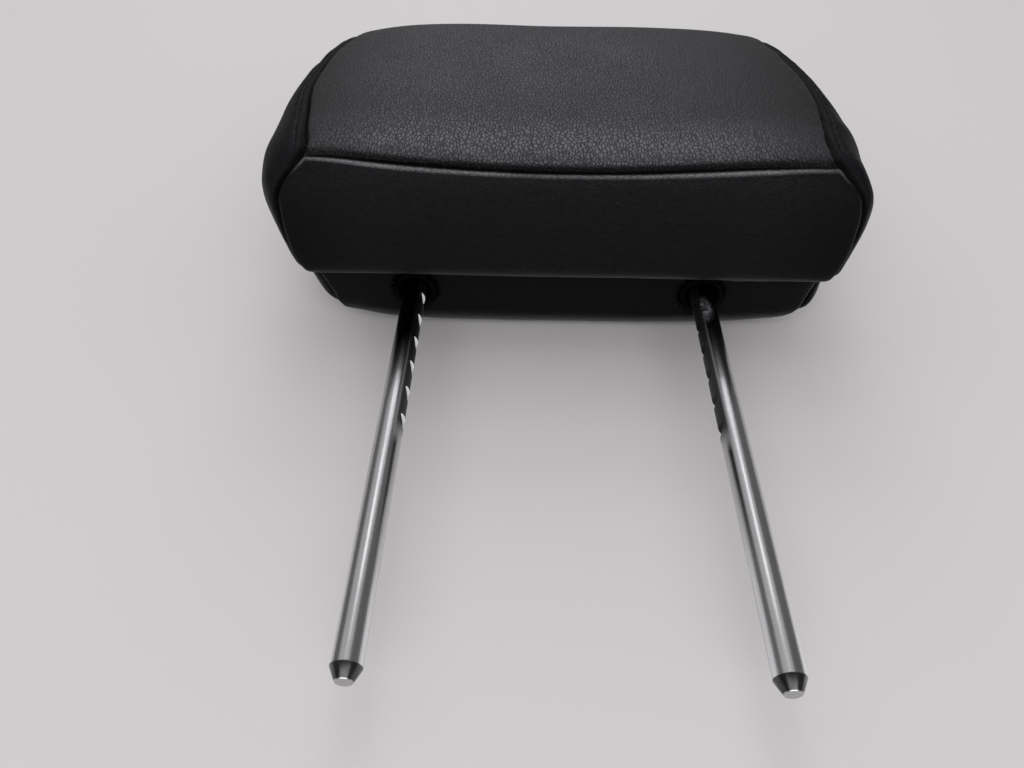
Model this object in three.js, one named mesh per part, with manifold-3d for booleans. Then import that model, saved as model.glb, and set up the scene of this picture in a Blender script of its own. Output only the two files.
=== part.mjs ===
// Car headrest: a stitched cover over a foam block, carried by a bent and notched steel rod.
//
// Millimetres, +Z up, the front of the headrest towards -Y. The origin lies midway between the two
// posts, where they leave the underside of the cushion.

import * as THREE from "three";
import Module from "manifold-3d";
import { mergeVertices } from "three/addons/utils/BufferGeometryUtils.js";

const wasm = await Module();
wasm.setup();

// Gaps between pieces: between hard pieces, and between the foam and its cover
const clearance = 0.3;
const foamClearance = 0.4;

// Support frame: one rod bent to a U
const postDiameter = 12;
const postSpacing = 153;
const postLength = 214.5;
const frameTop = 132;
const bendRadius = 24;
const tipLength = 5.4;
const tipDiameter = 6.6;
const rodSides = 28;
const bendSteps = 6;

// Locking notches on the inner side of each post
const notchCount = 6;
const firstNotch = 8;
const notchPitch = 17.2;
const notchLength = 5.5;
const notchDepth = 2;
const notchFloor = 1.65;
const notchDraft = 0.55;

// Cover: leather panels that roll in towards their seams
const coverThickness = 1.8;
const seamGap = 0.6;
const seamDepth = 1.1;
const seamShoulder = 3;
const seamRollEnd = 8;

// Post collars
const collarDiameter = 22;
const collarRim = 1.2;
const collarRimWidth = 2;
const collarEdge = 0.3;
const collarBarrel = 17;
const collarLength = 14;
const collarFunnel = 5;

// Closing strips: two hooked plastic profiles where the cover is closed under the chin
const stripHalfLength = 90;
const stripWall = 1.2;
const stripTop = 8.5;
const chinStripY = -20;
const chinStripFoot = -3;
const backStripY = -12.9;
const backStripFoot = 0.3;

// Middle of the cushion, seen from the side, and its half sizes from there
const middleY = -30;
const middleZ = 84.5;
const halfDepth = 58;
const halfHeight = 101;
const sideHalfWidth = 147.5;

// Hollow of the front in its middle, and drop of the chin at its ends
const frontHollow = 5.5;
const chinDrop = 3;

// The underside sits a little off the middle of the posts, and the cushion leans between these heights
const underLean = 2.5;
const leanBottom = -14;
const leanTop = 22;

// Typical lengths that space the columns of a panel and the levels of a side
const halfWidthAtSeam = 126;
const sideWidth = 62;

// Outline of the cushion in its middle plane, from the closure round the chin, the front, the top
// and the back to the underside. half: half the width there, square: how sharply the surface turns
// to the side, corner: how sharply it turns in plan, seam: reach of the side seam.
const outline = [
  { y: -18.5, z: -2.5, half: 134, square: 24, corner: 4.6, seam: 1 },
  { y: -19.5, z: -10, half: 134.5, square: 24, corner: 4.6, seam: 1 },
  { y: -24.5, z: -16.5, half: 136.5, square: 24, corner: 4.6, seam: 1 },
  { y: -42, z: -16, half: 141, square: 24, corner: 4.6, seam: 1 },
  { y: -60, z: -14, half: 146, square: 24, corner: 4.6, seam: 0.995 },
  { y: -75, z: -10.5, half: 150.5, square: 22, corner: 4.6, seam: 0.96 },
  { y: -84, z: -3, half: 152, square: 20, corner: 4.6, seam: 0.89 },
  { y: -87, z: 10, half: 153, square: 16, corner: 4.6, seam: 0.88 },
  { y: -88, z: 35, half: 152.5, square: 12, corner: 4.6, seam: 0.945 },
  { y: -88, z: 70, half: 152.5, square: 8, corner: 5, seam: 0.98 },
  { y: -87, z: 105, half: 150.5, square: 6, corner: 5.6, seam: 0.97 },
  { y: -85, z: 130, half: 146, square: 5.5, corner: 6, seam: 0.94 },
  { y: -81.5, z: 151, half: 141.5, square: 5.2, corner: 6, seam: 0.905 },
  { y: -70, z: 169, half: 137.5, square: 5, corner: 6, seam: 0.88 },
  { y: -50, z: 179, half: 134, square: 5, corner: 6, seam: 0.87 },
  { y: -25, z: 182.5, half: 133, square: 5, corner: 6, seam: 0.87 },
  { y: 0, z: 180, half: 132, square: 5, corner: 5.6, seam: 0.87 },
  { y: 17, z: 168, half: 131, square: 5, corner: 5.3, seam: 0.88 },
  { y: 25, z: 146, half: 131, square: 5.5, corner: 5, seam: 0.9 },
  { y: 27.5, z: 110, half: 131, square: 7, corner: 4.6, seam: 0.92 },
  { y: 27.5, z: 65, half: 131, square: 9, corner: 4.6, seam: 0.94 },
  { y: 27, z: 30, half: 132, square: 13, corner: 4.6, seam: 0.96 },
  { y: 25.5, z: 8, half: 134, square: 18, corner: 4.6, seam: 0.97 },
  { y: 18.5, z: 0.8, half: 136, square: 22, corner: 4.6, seam: 0.98 },
  { y: 3, z: 0, half: 136.5, square: 24, corner: 4.6, seam: 0.99 },
  { y: -12, z: 0, half: 136.5, square: 24, corner: 4.6, seam: 1 },
];

// Seams that run across, as stations along the outline, counted in its points
const closureStation = 0.15;
const chinSeamStation = 6.35;
const chinSeamSag = 0.8;
const topSeamStation = 16.6;
const underStation = 25;

// Stretches of the outline, as stations: start, full from, full to, end
const hollowStretch = [3.5, 7, 9, 12];
const dropStretch = [-0.5, 1.5, 4, 6];
const sagStretch = [3, chinSeamStation, chinSeamStation, 10];

// Reaches between which the side turns flat
const flatSideFrom = 1.15;
const flatSideTo = 1.5;

// Evening out of the outline on the sides: the stations averaged, and how far in it is complete
const evenSteps = [-2, -1, 1, 2];
const evenFrom = 0.3;

// Steps for finding the slope of the surface
const stationStep = 0.02;
const reachStep = 0.004;

// Rows between the rolled edges of each panel, and the distance below which points are one
const chinRowCount = 7;
const frontRowCount = 16;
const backRowCount = 14;
const mergeDistance = 1e-4;

const curve = (pick) =>
  new THREE.CatmullRomCurve3(outline.map(pick), true, "centripetal");
const profileCurve = curve((p) => new THREE.Vector3(p.half, p.y, p.z));
const formCurve = curve((p) => new THREE.Vector3(p.square, p.seam, p.corner));

const turnOf = (station) => (station / outline.length + 1) % 1;

// 0 before a, rising to 1 between b and c, and back at 0 from d on.
const hump = (value, [a, b, c, d]) =>
  THREE.MathUtils.smoothstep(value, a, b) * (1 - THREE.MathUtils.smoothstep(value, c, d));

// The outline at a station. On the sides it is evened out, so that the step under the chin runs out.
function outlineAt(station, inward) {
  const here = profileCurve.getPoint(turnOf(station));
  if (inward === 1) return here;
  const even = here.clone();
  for (const step of evenSteps) even.add(profileCurve.getPoint(turnOf(station + step)));
  even.divideScalar(evenSteps.length + 1);
  return here.lerp(even, 1 - THREE.MathUtils.smoothstep(inward, evenFrom, 1));
}

// A point of the cushion's surface. reach: 0 in the middle plane, 1 and -1 at the edges of the
// sides, 2 and -2 at the middles of the sides.
function surfacePoint(station, reach) {
  const across = Math.min(1, Math.abs(reach));
  const inward = Math.min(1, 2 - Math.abs(reach));
  const { x: middleHalf, y, z } = outlineAt(station, inward);
  const { x: square, z: corner } = formCurve.getPoint(turnOf(station));
  const rounding = (power) => (across ** power + inward ** power) ** (-1 / power);
  const deep = ((y - middleY) / halfDepth) ** 2;
  const high = ((z - middleZ) / halfHeight) ** 2;
  const edge = THREE.MathUtils.lerp(corner, square, (high / (high + deep)) ** 3);
  const nearEdge = THREE.MathUtils.smoothstep(inward, 0, 1);
  const half = THREE.MathUtils.lerp(sideHalfWidth, middleHalf, nearEdge);
  const hollow = frontHollow * hump(station, hollowStretch) * (1 - across ** 2) ** 2;
  const drop = chinDrop * hump(station, dropStretch) * across ** 6 * inward ** 3;
  const height = middleZ + (z - middleZ) * inward * rounding(square) - drop;
  const lean = underLean * (1 - THREE.MathUtils.smoothstep(height, leanBottom, leanTop));
  return new THREE.Vector3(
    Math.sign(reach) * half * across * rounding(edge) + lean,
    middleY + (y - middleY) * inward * rounding(corner) + hollow,
    height,
  );
}

const seamReach = (station) => formCurve.getPoint(turnOf(station)).y;

// The chin seam hangs lower in its middle, and the rows beside it follow.
function sagged(station, reach) {
  return station - chinSeamSag * hump(station, sagStretch) * Math.max(0, 1 - reach ** 2);
}

// A point moved inwards, square to the surface, and towards the middle plane on a side's flat.
function insetPoint(row, reach, depth) {
  const station = sagged(row, reach);
  const here = surfacePoint(station, reach);
  const before = surfacePoint(station - stationStep, reach);
  const along = surfacePoint(station + stationStep, reach).sub(before);
  const left = surfacePoint(station, Math.max(-2, reach - reachStep));
  const across = surfacePoint(station, Math.min(2, reach + reachStep)).sub(left);
  const flat = THREE.MathUtils.smoothstep(Math.abs(reach), flatSideFrom, flatSideTo);
  const inwards = along.cross(across).normalize();
  inwards.lerp(new THREE.Vector3(-Math.sign(reach), 0, 0), flat).normalize();
  return here.addScaledVector(inwards, depth);
}

// The station a distance further along the outline.
function stationAfter(start, distance) {
  const step = stationStep * Math.sign(distance);
  let station = start;
  let left = Math.abs(distance);
  while (left > 0) {
    const here = surfacePoint(station, 0);
    station += step;
    left -= here.distanceTo(surfacePoint(station, 0));
  }
  return station;
}

// Rows of a panel between two seams. They lie close at its seams, where it rolls in. edge: the
// distance to the nearer seam, as far as it matters.
function rowsBetween(from, to, count) {
  const start = stationAfter(from, seamRollEnd);
  const end = stationAfter(to, -seamRollEnd);
  const middle = Array.from({ length: count }, (_, i) => ({
    station: THREE.MathUtils.lerp(start, end, i / (count - 1)),
    edge: seamRollEnd,
  }));
  return [
    { station: stationAfter(from, seamGap / 2), edge: 0 },
    { station: stationAfter(from, seamShoulder), edge: seamShoulder },
    ...middle,
    { station: stationAfter(to, -seamShoulder), edge: seamShoulder },
    { station: stationAfter(to, -seamGap / 2), edge: 0 },
  ];
}

const chinRows = rowsBetween(closureStation, chinSeamStation, chinRowCount);
const frontRows = rowsBetween(chinSeamStation, topSeamStation, frontRowCount);
const backRows = rowsBetween(topSeamStation, underStation, backRowCount);

// Columns of a panel, as shares of the way to its side seams
const columnCount = 11;
const columns = (() => {
  const second = 1 - seamRollEnd / halfWidthAtSeam;
  const middle = Array.from({ length: columnCount }, (_, i) => ({
    share: THREE.MathUtils.lerp(-second, second, i / (columnCount - 1)),
    edge: seamRollEnd,
  }));
  const first = 1 - seamShoulder / halfWidthAtSeam;
  const last = 1 - seamGap / 2 / halfWidthAtSeam;
  return [
    { share: -last, edge: 0 },
    { share: -first, edge: seamShoulder },
    ...middle,
    { share: first, edge: seamShoulder },
    { share: last, edge: 0 },
  ];
})();

// Levels of a side panel, as shares of the way from its seam to the middle of the side
const sideLevels = [
  { share: seamGap / 2 / sideWidth, edge: 0 },
  { share: seamShoulder / sideWidth, edge: seamShoulder },
  { share: seamRollEnd / sideWidth, edge: seamRollEnd },
  { share: 0.3, edge: seamRollEnd },
  { share: 0.5, edge: seamRollEnd },
  { share: 0.72, edge: seamRollEnd },
  { share: 0.93, edge: seamRollEnd },
];

// The rows of all panels in turn, which the foam and the side panels share
const allRows = [...chinRows, ...frontRows, ...backRows];

// Geometry from a list of points and a list of triangles.
function geometryFrom(points, triangles) {
  const geometry = new THREE.BufferGeometry().setFromPoints(points);
  geometry.setIndex(triangles.flat());
  const merged = mergeVertices(geometry, mergeDistance);
  merged.computeVertexNormals();
  return merged;
}

// A solid skinned over rings of points, closed at both ends. turned: the rings run the other way.
function loft(rings, turned = false) {
  const count = rings[0].length;
  const points = rings.flat();
  const triangles = [];
  for (let r = 0; r + 1 < rings.length; r += 1) {
    for (let i = 0; i < count; i += 1) {
      const a = r * count + i;
      const b = r * count + ((i + 1) % count);
      triangles.push([a, b, a + count], [b, b + count, a + count]);
    }
  }
  const last = (rings.length - 1) * count;
  for (const [base, flip] of [[0, true], [last, false]]) {
    const ring = points.slice(base, base + count);
    const centre = ring.reduce((sum, p) => sum.add(p), new THREE.Vector3()).divideScalar(count);
    const middle = points.push(centre) - 1;
    for (let i = 0; i < count; i += 1) {
      const a = base + i;
      const b = base + ((i + 1) % count);
      triangles.push(flip ? [b, a, middle] : [a, b, middle]);
    }
  }
  if (turned) triangles.forEach((triangle) => triangle.reverse());
  return geometryFrom(points, triangles);
}

// A closed sheet between an outer and an inner grid of points.
function sheet(outer, inner) {
  const rows = outer.length;
  const width = outer[0].length;
  const points = [...outer.flat(), ...inner.flat()];
  const below = rows * width;
  const triangles = [];
  const quad = (a, b, c, d) => triangles.push([a, b, c], [a, c, d]);
  const at = (r, c) => r * width + c;
  for (let r = 0; r + 1 < rows; r += 1) {
    for (let c = 0; c + 1 < width; c += 1) {
      quad(at(r, c), at(r, c + 1), at(r + 1, c + 1), at(r + 1, c));
      quad(
        below + at(r, c),
        below + at(r + 1, c),
        below + at(r + 1, c + 1),
        below + at(r, c + 1),
      );
    }
  }
  const border = [];
  for (let c = 0; c < width - 1; c += 1) border.push(at(0, c));
  for (let r = 0; r < rows - 1; r += 1) border.push(at(r, width - 1));
  for (let c = width - 1; c > 0; c -= 1) border.push(at(rows - 1, c));
  for (let r = rows - 1; r > 0; r -= 1) border.push(at(r, 0));
  border.forEach((a, i) => {
    const b = border[(i + 1) % border.length];
    quad(b, a, below + a, below + b);
  });
  return geometryFrom(points, triangles);
}

// A solid that can be cut, made from a mesh.
function solid(geometry) {
  const bare = new THREE.BufferGeometry();
  bare.setAttribute("position", geometry.getAttribute("position"));
  bare.setIndex(geometry.index);
  const merged = mergeVertices(bare, mergeDistance);
  return new wasm.Manifold(
    new wasm.Mesh({
      numProp: 3,
      vertProperties: new Float32Array(merged.getAttribute("position").array),
      triVerts: new Uint32Array(merged.index.array),
    }),
  );
}

// The mesh of a solid.
function geometryOf(manifold) {
  const mesh = manifold.getMesh();
  const geometry = new THREE.BufferGeometry();
  geometry.setAttribute("position", new THREE.BufferAttribute(mesh.vertProperties, 3));
  geometry.setIndex(new THREE.BufferAttribute(mesh.triVerts, 1));
  const split = geometry.toNonIndexed();
  split.computeVertexNormals();
  return split;
}

const box = (x0, x1, y0, y1, z0, z1) =>
  new THREE.BoxGeometry(x1 - x0, y1 - y0, z1 - z0).translate(
    (x0 + x1) / 2,
    (y0 + y1) / 2,
    (z0 + z1) / 2,
  );

const upright = (radius, z0, z1, x) =>
  new THREE.CylinderGeometry(radius, radius, z1 - z0, rodSides)
    .rotateX(Math.PI / 2)
    .translate(x, 0, (z0 + z1) / 2);

const rollDepth = (distance) => seamDepth * (1 - distance / seamRollEnd) ** 2;

// A cover panel between two seams that run across and the side seams.
function panel(rows) {
  const grid = (depthAt) =>
    rows.map((row) =>
      columns.map((column) =>
        insetPoint(
          row.station,
          column.share * seamReach(row.station),
          depthAt(Math.min(row.edge, column.edge)),
        ),
      ),
    );
  return sheet(grid(rollDepth), grid(() => coverThickness));
}

// The rings of points of the bent rod, from one tip to the other.
function rodRings(radius, tip) {
  const half = postSpacing / 2;
  const rings = [];
  const ring = (x, z, tilt, r) => {
    const points = [];
    for (let i = 0; i < rodSides; i += 1) {
      const a = (2 * Math.PI * (i + 0.5)) / rodSides;
      const out = r * Math.cos(a);
      points.push(
        new THREE.Vector3(x - out * Math.cos(tilt), -r * Math.sin(a), z + out * Math.sin(tilt)),
      );
    }
    rings.push(points);
  };
  if (tip) ring(-half, -postLength, 0, tipDiameter / 2);
  ring(-half, -postLength + (tip ? tipLength : 0), 0, radius);
  for (let i = 0; i <= bendSteps; i += 1) {
    const turn = (Math.PI / 2) * (i / bendSteps);
    const x = -half + bendRadius * (1 - Math.cos(turn));
    ring(x, frameTop - bendRadius + bendRadius * Math.sin(turn), turn, radius);
  }
  for (let i = bendSteps; i >= 0; i -= 1) {
    const turn = (Math.PI / 2) * (i / bendSteps);
    const x = half - bendRadius * (1 - Math.cos(turn));
    ring(x, frameTop - bendRadius + bendRadius * Math.sin(turn), Math.PI - turn, radius);
  }
  ring(half, -postLength + (tip ? tipLength : 0), Math.PI, radius);
  if (tip) ring(half, -postLength, Math.PI, tipDiameter / 2);
  return rings;
}

// One notch: nearly square at its upper end, running out along the post below. The cutter stands as
// far out of the post as it goes in.
function notchCutter(side, top) {
  const inner = side * (postSpacing / 2 - postDiameter / 2);
  const section = new THREE.Shape([
    new THREE.Vector2(inner - side * notchDepth, top + 2 * notchDraft),
    new THREE.Vector2(inner + side * notchDepth, top),
    new THREE.Vector2(inner + side * notchDepth, top - notchFloor),
    new THREE.Vector2(inner - side * notchDepth, top - 2 * notchLength + notchFloor),
  ]);
  return new THREE.ExtrudeGeometry(section, { depth: 2 * postDiameter, bevelEnabled: false })
    .rotateX(Math.PI / 2)
    .translate(0, postDiameter, 0);
}

function supportFrame() {
  let frame = solid(loft(rodRings(postDiameter / 2, true)));
  for (const side of [-1, 1]) {
    for (let i = 0; i < notchCount; i += 1) {
      frame = frame.subtract(solid(notchCutter(side, -firstNotch - i * notchPitch)));
    }
  }
  return geometryOf(frame);
}

// The plastic ring that lines the hole of one post.
function postCollar() {
  const bore = postDiameter / 2 + clearance;
  const rim = collarDiameter / 2;
  const profile = [
    [bore, collarFunnel],
    [rim - collarRimWidth, -collarEdge],
    [rim - collarRimWidth / 2, -collarRim],
    [rim - collarEdge, -collarRim + collarEdge],
    [rim, -collarEdge],
    [rim, coverThickness],
    [collarBarrel / 2, coverThickness],
    [collarBarrel / 2, collarLength],
    [bore, collarLength],
    [bore, collarFunnel],
  ];
  return new THREE.LatheGeometry(
    profile.map(([r, z]) => new THREE.Vector2(r, z)),
    rodSides,
  ).rotateX(Math.PI / 2);
}

// One hooked strip: a wall up from the edge of the cover, and a hook over to the other strip.
function closingStrip(y, inwards, foot, top) {
  const wall = y + inwards * stripWall;
  const tip = y + inwards * (backStripY - chinStripY - stripWall - clearance);
  const section = new THREE.Shape([
    new THREE.Vector2(y, foot),
    new THREE.Vector2(wall, foot),
    new THREE.Vector2(wall, top - stripWall),
    new THREE.Vector2(tip, top - stripWall),
    new THREE.Vector2(tip, top),
    new THREE.Vector2(y, top),
  ]);
  return new THREE.ExtrudeGeometry(section, { depth: 2 * stripHalfLength, bevelEnabled: false })
    .rotateX(Math.PI / 2)
    .rotateZ(Math.PI / 2)
    .translate(-stripHalfLength, 0, 0);
}

const chinClosingStrip = () => closingStrip(chinStripY, 1, chinStripFoot, stripTop);
const backClosingStrip = () =>
  closingStrip(backStripY, -1, backStripFoot, stripTop - stripWall - clearance);

// A ring of points round the cushion at one reach, given as a share of the way to the side seam,
// or beyond it.
const ringInside = (share, depth) =>
  allRows.map(({ station }) => insetPoint(station, share * seamReach(station), depth));

const ringBeyond = (side, share, depth) =>
  allRows.map(({ station }) =>
    insetPoint(station, side * THREE.MathUtils.lerp(seamReach(station), 2, share), depth),
  );

function foamCore() {
  const depth = coverThickness + foamClearance;
  const beyond = sideLevels.slice(1).reverse();
  const rings = [
    ...beyond.map(({ share }) => ringBeyond(1, share, depth)),
    ...columns.map(({ share }) => ringInside(-share, depth)),
    ...beyond.reverse().map(({ share }) => ringBeyond(-1, share, depth)),
  ];
  let foam = solid(loft(rings));
  foam = foam.subtract(solid(loft(rodRings(postDiameter / 2 + clearance, false))));
  for (const side of [-1, 1]) {
    const recess = upright(
      collarBarrel / 2 + clearance,
      -postDiameter,
      collarLength + clearance,
      (side * postSpacing) / 2,
    );
    foam = foam.subtract(solid(recess));
  }
  const reach = stripHalfLength + clearance;
  const slot = box(
    -reach,
    reach,
    chinStripY - clearance,
    backStripY + clearance,
    -postDiameter,
    stripTop + clearance,
  );
  return geometryOf(foam.subtract(solid(slot)));
}

function backPanel() {
  let cover = solid(panel(backRows));
  for (const side of [-1, 1]) {
    const hole = upright(
      collarDiameter / 2 + clearance,
      -postDiameter,
      postDiameter,
      (side * postSpacing) / 2,
    );
    cover = cover.subtract(solid(hole));
  }
  return geometryOf(cover);
}

// A side panel: rings round the side, on the outer face and back on the inner face.
function sidePanel(side) {
  const outer = sideLevels.map(({ share, edge }) => ringBeyond(side, share, rollDepth(edge)));
  const inner = sideLevels.map(({ share }) => ringBeyond(side, share, coverThickness));
  const rings = side > 0 ? [...inner.reverse(), ...outer] : [...outer.reverse(), ...inner];
  return loft(rings, true);
}

// Materials
const leather = new THREE.MeshStandardMaterial({ color: 0x2b2c2f, roughness: 0.5, metalness: 0 });
const foam = new THREE.MeshStandardMaterial({ color: 0xcfc6a8, roughness: 0.95, metalness: 0 });
const chrome = new THREE.MeshStandardMaterial({ color: 0xb9bbbd, roughness: 0.18, metalness: 1 });
const plastic = new THREE.MeshStandardMaterial({ color: 0x121213, roughness: 0.4, metalness: 0 });

const headrest = new THREE.Group();

function add(name, geometry, material, position = [0, 0, 0]) {
  const mesh = new THREE.Mesh(geometry, material);
  mesh.name = name;
  mesh.position.set(...position);
  headrest.add(mesh);
}

add("support_frame", supportFrame(), chrome);
add("foam_core", foamCore(), foam);
add("front_panel", panel(frontRows), leather);
add("chin_panel", panel(chinRows), leather);
add("back_panel", backPanel(), leather);
add("left_side_panel", sidePanel(-1), leather);
add("right_side_panel", sidePanel(1), leather);
add("left_post_collar", postCollar(), plastic, [-postSpacing / 2, 0, 0]);
add("right_post_collar", postCollar(), plastic, [postSpacing / 2, 0, 0]);
add("chin_closing_strip", chinClosingStrip(), plastic);
add("back_closing_strip", backClosingStrip(), plastic);

export default headrest;
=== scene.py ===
# %% [markdown]
# # A car headrest, dressed for its picture
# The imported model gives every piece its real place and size. This script keeps that frame and gives
# the pieces their looks: stitched leather that rolls into its seams, a chromed rod, plastic rings.
# Lengths are in metres, +Z points up and the front of the headrest faces -Y.

# %% Load the frame
import math

import bmesh
import bpy
from mathutils import Matrix, Vector, noise
from mathutils.bvhtree import BVHTree
from mathutils.geometry import intersect_point_line
from mathutils.kdtree import KDTree


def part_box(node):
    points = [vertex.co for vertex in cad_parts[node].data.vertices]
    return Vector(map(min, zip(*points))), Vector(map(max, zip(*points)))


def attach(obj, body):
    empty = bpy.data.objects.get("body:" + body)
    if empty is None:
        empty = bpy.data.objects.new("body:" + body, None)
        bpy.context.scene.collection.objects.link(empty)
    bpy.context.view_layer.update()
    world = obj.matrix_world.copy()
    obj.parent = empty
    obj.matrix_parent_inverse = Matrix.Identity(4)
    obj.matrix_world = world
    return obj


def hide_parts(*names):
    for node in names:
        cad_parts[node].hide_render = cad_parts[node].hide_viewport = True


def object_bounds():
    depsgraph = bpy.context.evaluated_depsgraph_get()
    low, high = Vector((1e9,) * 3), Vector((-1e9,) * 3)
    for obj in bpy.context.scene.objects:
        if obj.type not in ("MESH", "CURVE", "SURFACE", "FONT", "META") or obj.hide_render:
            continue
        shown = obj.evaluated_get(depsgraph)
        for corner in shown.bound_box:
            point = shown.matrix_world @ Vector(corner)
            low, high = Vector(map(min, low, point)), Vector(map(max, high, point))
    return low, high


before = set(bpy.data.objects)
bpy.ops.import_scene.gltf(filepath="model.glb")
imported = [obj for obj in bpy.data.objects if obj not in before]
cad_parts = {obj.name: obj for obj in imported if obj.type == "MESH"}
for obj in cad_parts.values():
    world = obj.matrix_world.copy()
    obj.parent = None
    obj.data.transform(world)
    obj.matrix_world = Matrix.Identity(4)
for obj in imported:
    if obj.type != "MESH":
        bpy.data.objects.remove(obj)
cad_box = [list(corner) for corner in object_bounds()]
MM = 0.001
print("CAD box:", cad_box)

# %% [markdown]
# ## Camera
# The picture was taken from low in front, looking steeply up at the posts and the chin. The camera's
# place and its three axes were fitted to the posts' ends. A matrix from those axes turns the camera
# without a target object, and the lens follows from the focal length in pixels.

# %% Set the camera
IMAGE_WIDTH = 1024
FOCAL_PIXELS = 770
SENSOR = 36
camera_data = bpy.data.cameras.new("camera")
camera_data.sensor_width = SENSOR
camera_data.lens = FOCAL_PIXELS / IMAGE_WIDTH * SENSOR
camera_data.clip_start = 0.01
camera = bpy.data.objects.new("camera", camera_data)
bpy.context.collection.objects.link(camera)
right = Vector((0.999646, -0.003021, 0.02644))
up = Vector((-0.020942, -0.702347, 0.711526))
back = right.cross(up)
camera.matrix_world = Matrix.Translation((-0.016727, -0.259012, -0.325049)) @ Matrix(
    (right, up, back)
).transposed().to_4x4()
bpy.context.scene.camera = camera
print("lens:", round(camera_data.lens, 2), "mm")

# %% [markdown]
# ## Materials as expressions
# A finish is easier to read as arithmetic than as a heap of nodes. `Value` wraps one socket, and
# each operator on it adds the Math node that does the sum. `Finish` starts a material with its
# Principled shader and adds any other node by its type, its settings and its inputs.

# %% Wrap sockets and materials
class Value:
    """A number that varies over a surface."""

    def __init__(self, tree, socket):
        self.tree = tree
        self.socket = socket

    def math(self, operation, *others, clamp=False):
        node = self.tree.nodes.new("ShaderNodeMath")
        node.operation = operation
        node.use_clamp = clamp
        for socket, value in zip(node.inputs, others):
            connect(self.tree, value, socket)
        return Value(self.tree, node.outputs[0])

    def __add__(self, other):
        return self.math("ADD", self, other)

    def __sub__(self, other):
        return self.math("SUBTRACT", self, other)

    def __rsub__(self, other):
        return self.math("SUBTRACT", other, self)

    def __mul__(self, other):
        return self.math("MULTIPLY", self, other)

    __radd__ = __add__
    __rmul__ = __mul__

    def clamped(self):
        return self.math("ADD", self, 0, clamp=True)

    def above(self, low, high):
        """0 below low, 1 above high and a smooth rise between."""
        node = self.tree.nodes.new("ShaderNodeMapRange")
        node.interpolation_type = "SMOOTHSTEP"
        connect(self.tree, self, node.inputs["Value"])
        node.inputs["From Min"].default_value = low
        node.inputs["From Max"].default_value = high
        return Value(self.tree, node.outputs["Result"])


def connect(tree, value, socket):
    """Links a Value to a socket, or sets the socket to a plain number, colour or vector."""
    if isinstance(value, Value):
        tree.links.new(value.socket, socket)
    else:
        socket.default_value = value


class Finish:
    """A material under construction."""

    def __init__(self, name, shader):
        self.material = bpy.data.materials.new(name)
        self.material.use_nodes = True
        self.tree = self.material.node_tree
        self.tree.nodes.clear()
        surface = self.node("ShaderNodeBsdfPrincipled", {}, shader)
        self.output = self.tree.nodes.new("ShaderNodeOutputMaterial")
        self.tree.links.new(surface.outputs["BSDF"], self.output.inputs["Surface"])
        self.surface = surface

    def node(self, kind, settings, inputs):
        node = self.tree.nodes.new(kind)
        for name, value in settings.items():
            setattr(node, name, value)
        for name, value in inputs.items():
            connect(self.tree, value, node.inputs[name])
        return node

    def value(self, kind, settings, inputs, output):
        return Value(self.tree, self.node(kind, settings, inputs).outputs[output])

    def place(self, stretch=(1, 1, 1)):
        """A point's place on the object, with the pattern drawn out along its axes."""
        point = self.value("ShaderNodeTexCoord", {}, {}, "Object")
        return self.value("ShaderNodeMapping", {}, {"Vector": point, "Scale": stretch}, "Vector")

    def along(self, axis):
        """A point's X, Y or Z, in metres from the origin."""
        split = self.node("ShaderNodeSeparateXYZ", {}, {"Vector": self.place()})
        return Value(self.tree, split.outputs[axis])

    def aside(self):
        """A point's distance from the plane that parts the headrest's left from its right."""
        x = self.along("X")
        return x.math("ABSOLUTE", x)

    def near(self, point, inner, outer, stretch=(1, 1, 1)):
        """1 within the inner distance of a point, 0 beyond the outer one."""
        target = tuple(a * b for a, b in zip(point, stretch))
        inputs = {0: self.place(stretch), 1: target}
        node = self.node("ShaderNodeVectorMath", {"operation": "DISTANCE"}, inputs)
        return 1 - Value(self.tree, node.outputs["Value"]).above(inner, outer)

    def mottle(self, place, size, detail=3, roughness=0.55):
        inputs = {"Vector": place, "Scale": 1 / size, "Detail": detail, "Roughness": roughness}
        return self.value("ShaderNodeTexNoise", {}, inputs, "Fac")

    def creases(self, place, size):
        """0 in the crease between two pebbles and rising towards their middles."""
        settings = {"feature": "DISTANCE_TO_EDGE"}
        inputs = {"Vector": place, "Scale": 1 / size}
        return self.value("ShaderNodeTexVoronoi", settings, inputs, "Distance")

    def wander(self, place, size, reach):
        """A place moved about by noise, so that a pattern on it loses its regularity."""
        inputs = {"Vector": place, "Scale": 1 / size, "Detail": 2}
        colour = self.value("ShaderNodeTexNoise", {}, inputs, "Color")
        settings = {"operation": "MULTIPLY_ADD"}
        node = self.node("ShaderNodeVectorMath", settings, {0: colour, 1: (reach,) * 3, 2: place})
        return Value(self.tree, node.outputs["Vector"])

    def blend(self, mask, low, high):
        node = self.node("ShaderNodeMix", {"data_type": "RGBA"}, {})
        connect(self.tree, mask, node.inputs["Factor"])
        connect(self.tree, low, node.inputs[6])
        connect(self.tree, high, node.inputs[7])
        return Value(self.tree, node.outputs[2])

    def relief(self, height, distance, strength=1.0):
        inputs = {"Height": height, "Distance": distance, "Strength": strength}
        self.drive("Normal", self.value("ShaderNodeBump", {}, inputs, "Normal"))

    def drive(self, socket, value):
        connect(self.tree, value, self.surface.inputs[socket])


print("finishes are ready to be mixed")
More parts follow.
